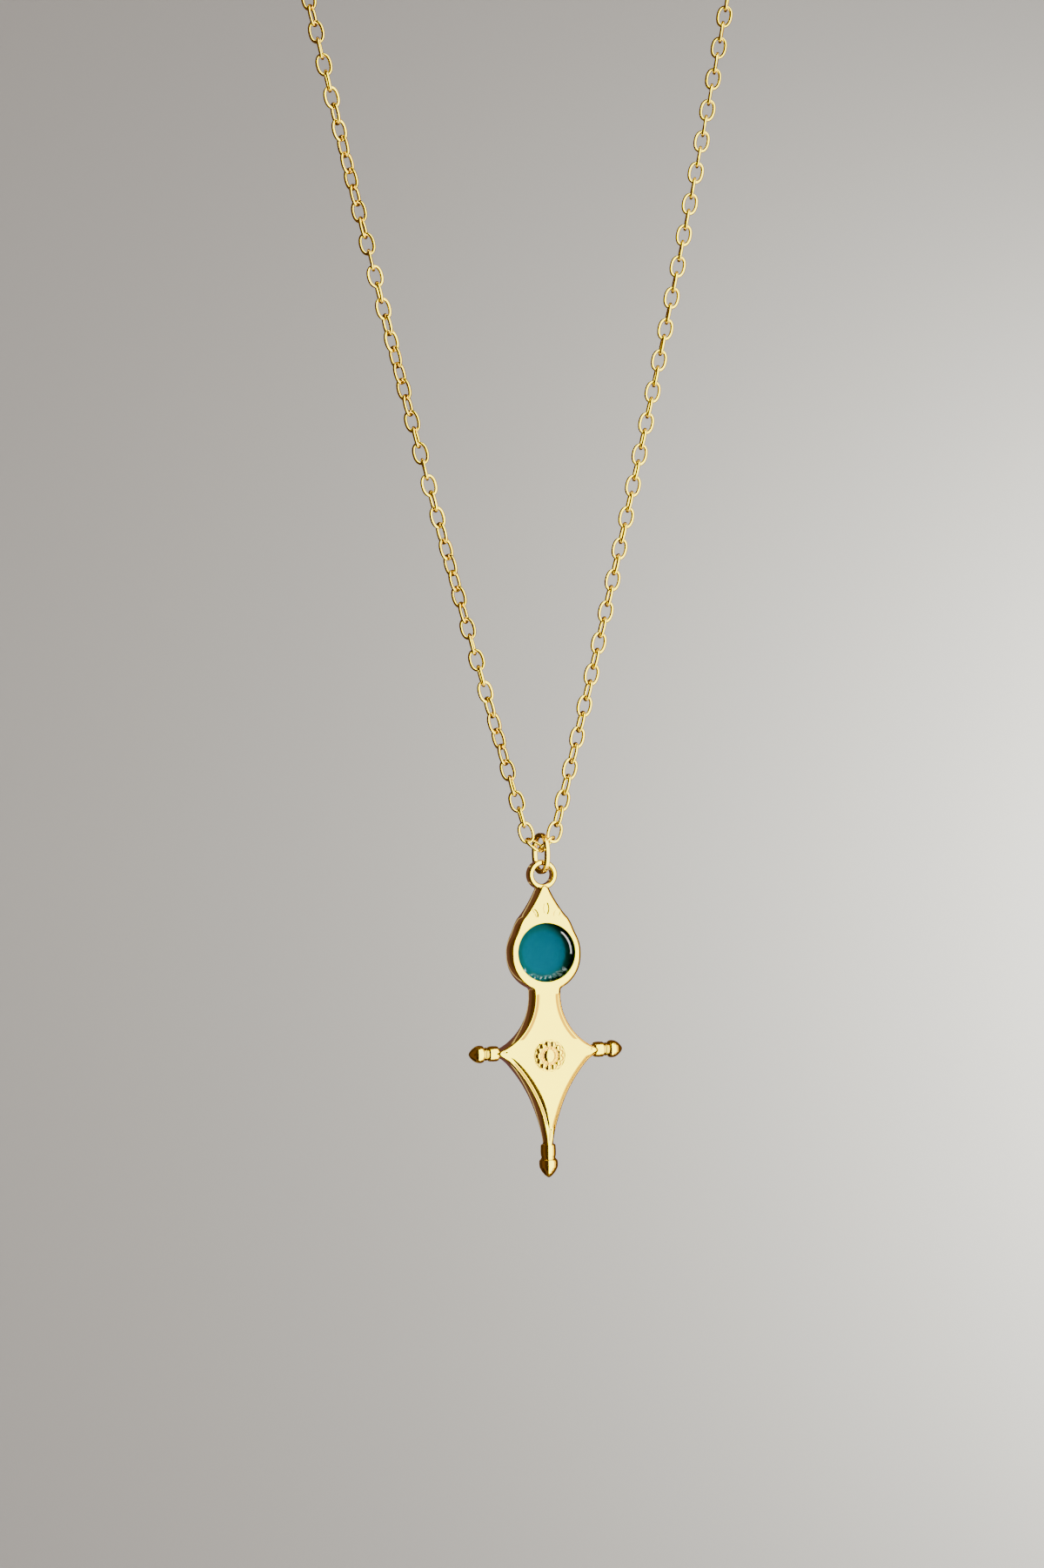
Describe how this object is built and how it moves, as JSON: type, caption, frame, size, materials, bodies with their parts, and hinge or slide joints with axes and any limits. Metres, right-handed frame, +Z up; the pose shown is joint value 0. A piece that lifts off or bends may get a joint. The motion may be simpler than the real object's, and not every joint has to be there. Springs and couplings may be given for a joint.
{
  "type": "pendant necklace",
  "caption": "Cast gold-coloured cross pendant with a round blue-green stone in its head, hung by a bail from a fine cable chain closed by a ring clasp.",
  "frame": {"origin": "inside the top of the chain's loop, on the middle plane, where the necklace is hung up", "axes": "+Z up, the pendant hangs towards -Z; the front of the pendant faces -Y; X runs left to right"},
  "size_m": [0.0691, 0.0056, 0.2147],
  "materials": {
    "cast_gold": "polished, gold-plated casting",
    "gold_wire": "bright, gold-plated wire",
    "stone": "polished translucent stone or glass"
  },
  "bodies": {
    "chain": {"chain_left": "gold_wire", "chain_right": "gold_wire", "clasp": "gold_wire", "end_ring": "gold_wire", "clasp_link": "gold_wire"},
    "bail": {"bail": "gold_wire"},
    "pendant": {"cross": "cast_gold", "stone": "stone"}
  },
  "joints": [
    {"name": "bail_swing", "type": "hinge", "parent": "chain", "child": "bail", "pos_m": [0, 0.00004, -0.17726], "axis": [1, 0, 0], "range_deg": [-90, 90]},
    {"name": "pendant_swing", "type": "hinge", "parent": "bail", "child": "pendant", "pos_m": [0, 0, -0.17984], "axis": [0, 1, 0], "range_deg": [-90, 90]}
  ]
}
